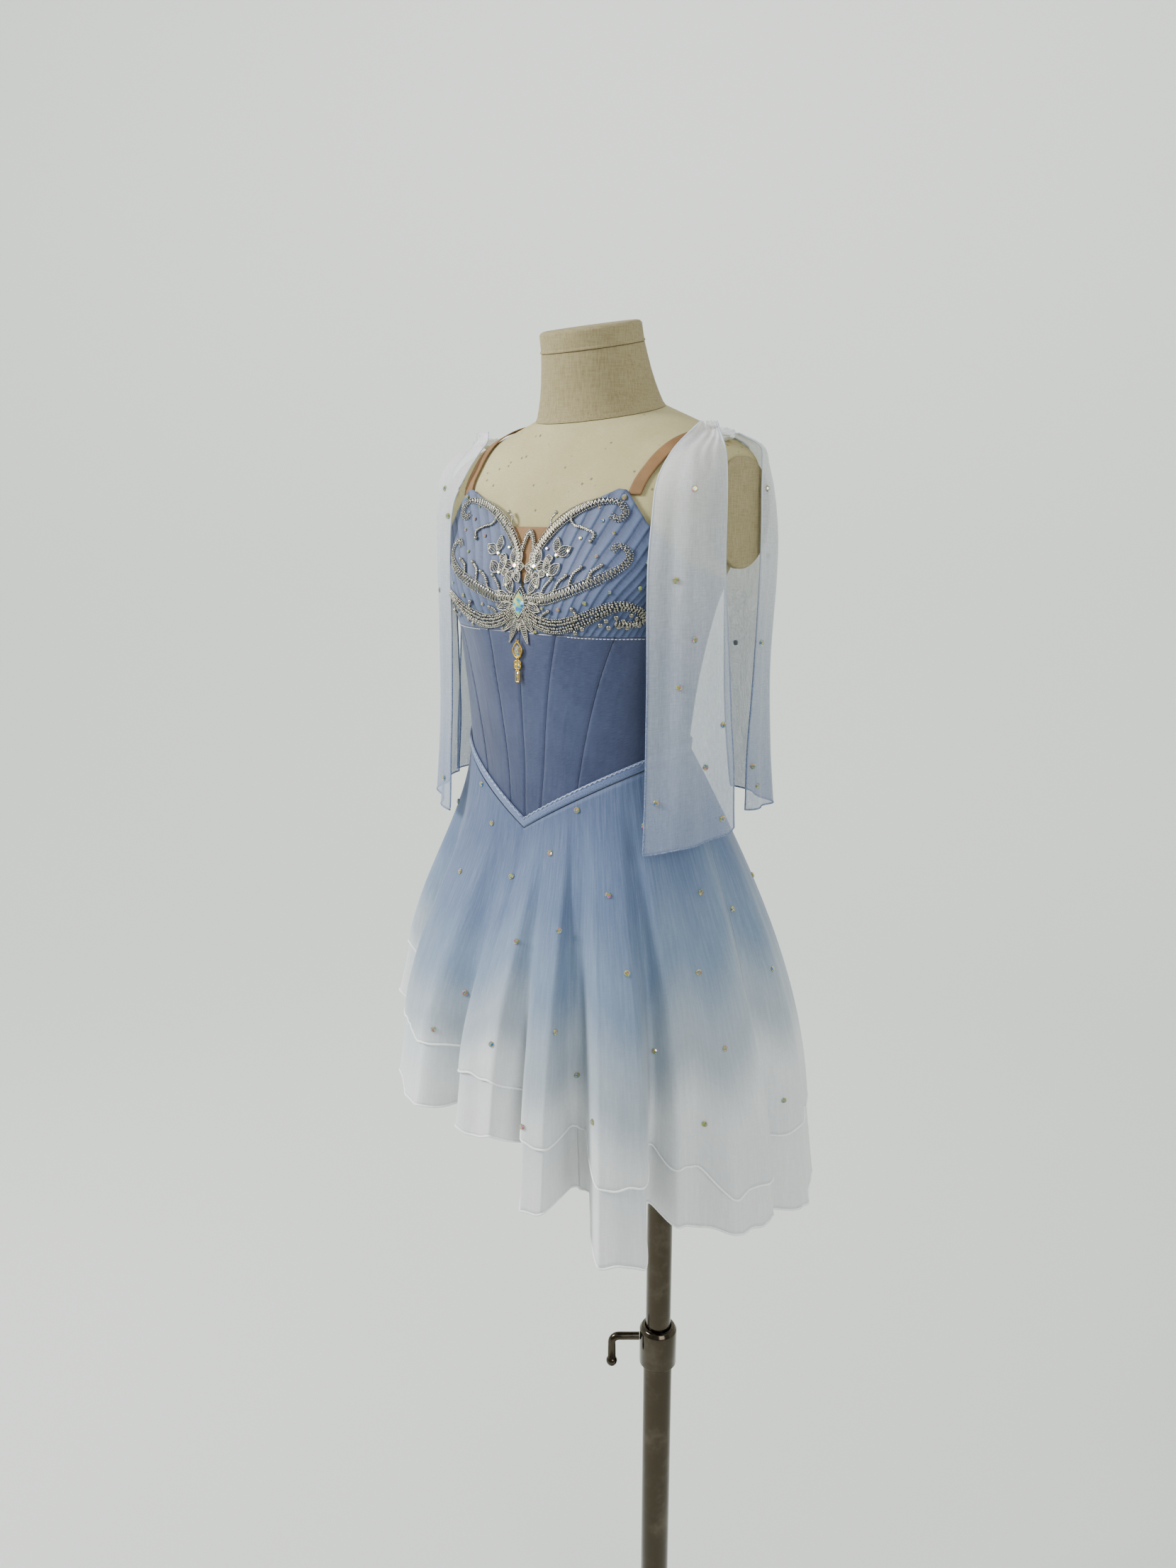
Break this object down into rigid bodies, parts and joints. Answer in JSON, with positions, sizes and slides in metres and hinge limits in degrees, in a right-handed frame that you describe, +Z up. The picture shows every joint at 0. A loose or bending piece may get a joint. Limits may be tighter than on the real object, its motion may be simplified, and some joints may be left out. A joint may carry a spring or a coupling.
{
  "type": "lyrical dress on a limbless dress form with a pole stand",
  "caption": "Corset-bodice lyrical dance dress with pleated cups, dipped two-layer skirt and shoulder scarves, worn by a limbless dress form on a round-base pole stand.",
  "frame": {"origin": "middle of the base's underside, on the axis of the pole", "axes": "+Z up along the pole, the front of the dress faces -Y and its left side is +X"},
  "size_m": [0.4456, 0.4321, 1.6151],
  "materials": {
    "satin": "dusty blue satin",
    "cup": "pleated pale blue chiffon over satin",
    "binding": "satin bias binding",
    "nude": "tan power mesh",
    "chiffon": "sheer chiffon dyed from blue to white",
    "under": "sheer white chiffon",
    "scarf": "sheer chiffon dyed from white to blue",
    "silver": "silver bullion and glass beads on net",
    "stone": "faceted iridescent stone",
    "gold": "polished gold plate",
    "canvas": "tight cream canvas over padding",
    "linen": "coarse natural linen",
    "chrome": "polished chrome tube"
  },
  "bodies": {
    "stand": {"stand_base": "chrome", "stand_lower_tube": "chrome", "stand_collar": "chrome"},
    "lever": {"clamp_lever": "chrome"},
    "mast": {"stand_upper_tube": "chrome"},
    "form": {"form_socket": "chrome", "form_torso": "canvas", "form_neck": "linen", "form_cap": "linen", "arm_plate_left": "linen", "arm_plate_right": "linen", "bodice_front_centre_left": "satin", "bodice_front_centre_right": "satin", "bodice_front_side_left": "satin", "bodice_front_side_right": "satin", "bodice_side_front_left": "satin", "bodice_side_front_right": "satin", "bodice_side_back_left": "satin", "bodice_side_back_right": "satin", "bodice_back_side_left": "satin", "bodice_back_side_right": "satin", "bodice_back_centre_left": "satin", "bodice_back_centre_right": "satin", "cup_left": "cup", "cup_right": "cup", "mesh_insert": "nude", "waist_binding": "binding", "strap_left": "nude", "strap_right": "nude", "skirt_over_front": "chiffon", "skirt_over_back": "chiffon", "skirt_under_front": "under", "skirt_under_back": "under", "scarf_front_tail_left": "scarf", "scarf_front_tail_right": "scarf", "scarf_back_tail_left": "scarf", "scarf_back_tail_right": "scarf", "scarf_knot_left": "scarf", "scarf_knot_right": "scarf", "applique_upper_scroll_left": "silver", "applique_upper_scroll_right": "silver", "applique_middle_scroll_left": "silver", "applique_middle_scroll_right": "silver", "applique_lower_scroll_left": "silver", "applique_lower_scroll_right": "silver", "applique_centre_stone": "stone"},
    "charm": {"charm": "gold"}
  },
  "joints": [
    {"name": "mast_slide", "type": "slide", "parent": "stand", "child": "mast", "axis": [0, 0, 1], "range_m": [-0.2, 0.15]},
    {"name": "form_swivel", "type": "hinge", "parent": "mast", "child": "form", "pos_m": [0, 0, 1], "axis": [0, 0, 1], "continuous": true},
    {"name": "lever_turn", "type": "hinge", "parent": "stand", "child": "lever", "pos_m": [0, 0, 0.534], "axis": [-0.766, -0.6428, 0], "range_deg": [-180, 180]},
    {"name": "charm_swing", "type": "hinge", "parent": "form", "child": "charm", "pos_m": [-0.06, -0.1485, 1.328], "axis": [-1, 0, 0], "range_deg": [0, 70]}
  ]
}
